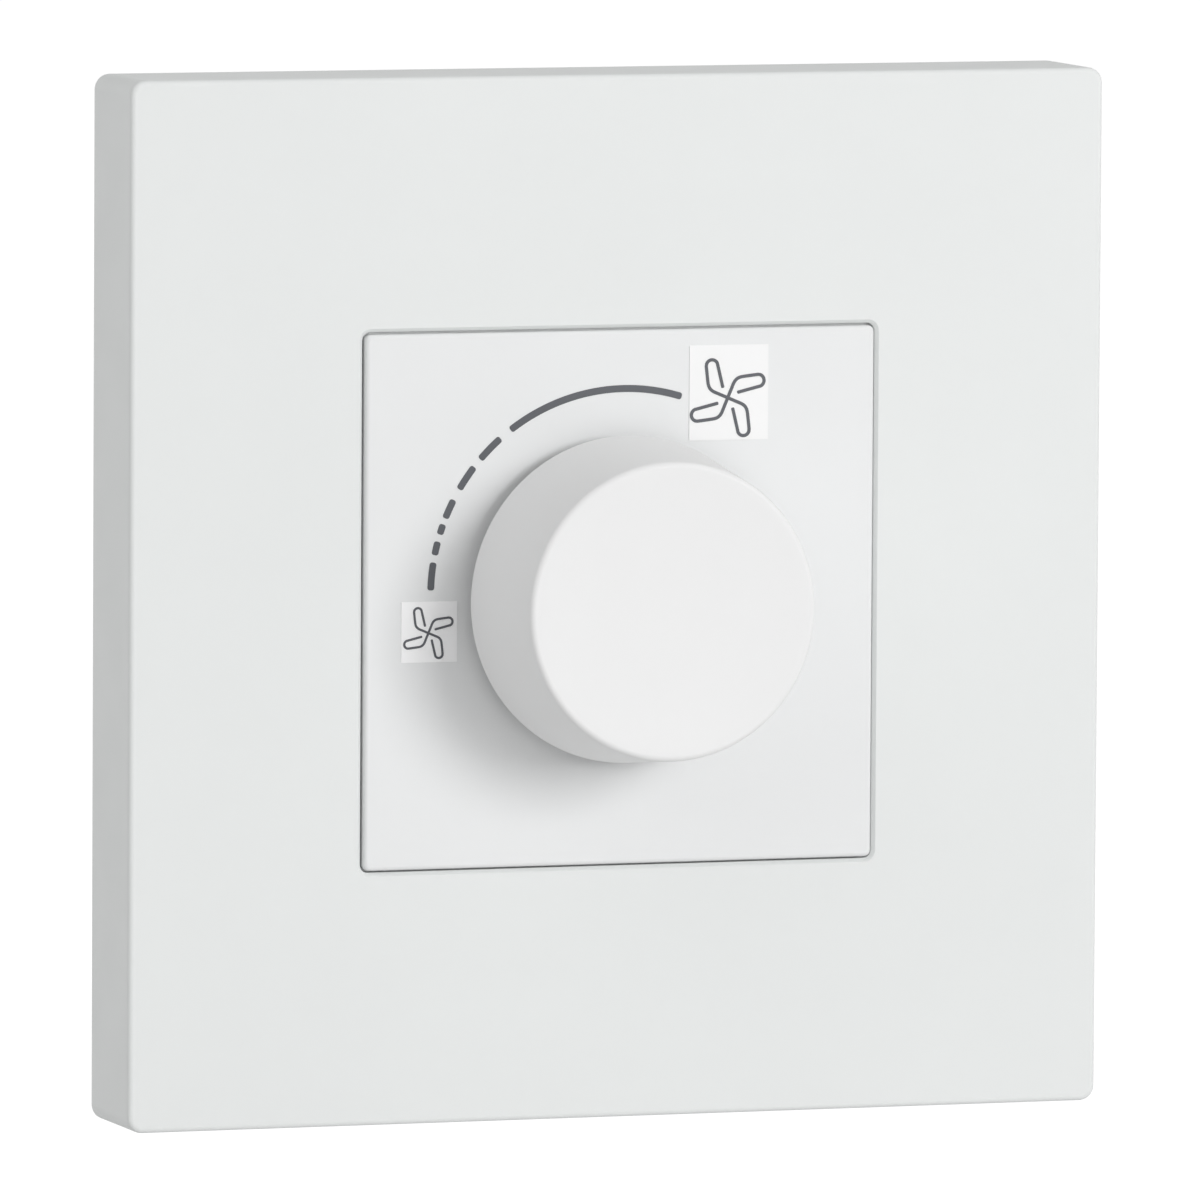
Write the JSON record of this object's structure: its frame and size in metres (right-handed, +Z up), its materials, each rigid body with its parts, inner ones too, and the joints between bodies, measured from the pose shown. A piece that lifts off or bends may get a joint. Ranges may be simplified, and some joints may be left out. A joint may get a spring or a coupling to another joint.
{
  "type": "fan speed control switch",
  "caption": "Square flush wall plate with a square centre panel and a large round knob that is turned to set a ceiling fan's speed and pushed to switch it on or off.",
  "frame": {"origin": "centre of the plate on the wall's surface, midway between the two box screws", "axes": "+X to the right of someone facing the wall, +Z up, +Y into the wall; the knob points along -Y"},
  "size_m": [0.086, 0.0536, 0.088],
  "materials": {
    "white_cover": "fine satin moulded white",
    "label_film": "flat white film",
    "frame_plastic": "matt light grey",
    "housing_plastic": "matt off-white",
    "inner_plastic": "matt black",
    "zinc_steel": "bright zinc plated",
    "spring_steel": "bright",
    "brass": "bright",
    "tin": "bright tinned",
    "aluminium": "mill finish",
    "board": "matt laminate",
    "wafer": "matt laminate",
    "iron_core": "painted powdered iron",
    "copper_wire": "enamelled",
    "film_case": "gloss",
    "blue_coat": "gloss coating",
    "resistor_coat": "gloss coating",
    "clear_glass": "clear",
    "pad": "matt"
  },
  "bodies": {
    "housing": {"outer_plate": "white_cover", "centre_plate": "white_cover", "low_speed_label": "label_film", "high_speed_label": "label_film", "support_frame": "frame_plastic", "box_screws": "zinc_steel", "module_chassis": "housing_plastic", "rear_housing": "housing_plastic", "housing_screws": "zinc_steel", "circuit_board": "board", "control_bracket": "zinc_steel", "control_case": "inner_plastic", "resistance_track": "wafer", "control_terminals": "tin", "switch_case": "inner_plastic", "switch_base": "inner_plastic", "switch_terminals": "brass", "switch_spring": "spring_steel", "heat_sink": "aluminium", "insulating_pad": "pad", "triac": "inner_plastic", "heat_sink_screw": "zinc_steel", "choke_core": "iron_core", "choke_winding": "copper_wire", "mains_capacitor": "film_case", "noise_capacitor": "film_case", "timing_capacitor": "film_case", "resistors": "resistor_coat", "diac": "blue_coat", "varistor": "blue_coat", "fuse_tube": "clear_glass", "fuse_caps": "tin", "fuse_clips": "brass", "terminal_block": "inner_plastic", "terminal_clamps": "brass", "terminal_screws": "zinc_steel"},
    "plunger": {"switch_plunger": "inner_plastic", "contact_bridge": "brass"},
    "knob": {"knob": "white_cover", "knob_spring": "spring_steel", "control_shaft": "aluminium"},
    "rotor": {"wiper_carrier": "inner_plastic", "wiper_contact": "brass"}
  },
  "joints": [
    {"name": "knob_push", "type": "slide", "parent": "housing", "child": "plunger", "axis": [0, 1, 0], "range_m": [0, 0.0012], "stiffness_N_per_m": 900, "springref_m": -0.002, "deforming": ["switch_spring"]},
    {"name": "knob_turn", "type": "hinge", "parent": "plunger", "child": "knob", "pos_m": [0, 0, 0], "axis": [0, 1, 0], "range_deg": [0, 270]},
    {"name": "wiper_turn", "type": "hinge", "parent": "housing", "child": "rotor", "pos_m": [0, 0, 0], "axis": [0, 1, 0], "range_deg": [0, 270]}
  ],
  "couplings": [
    {"joint": "wiper_turn", "follows": "knob_turn", "ratio": 1}
  ]
}
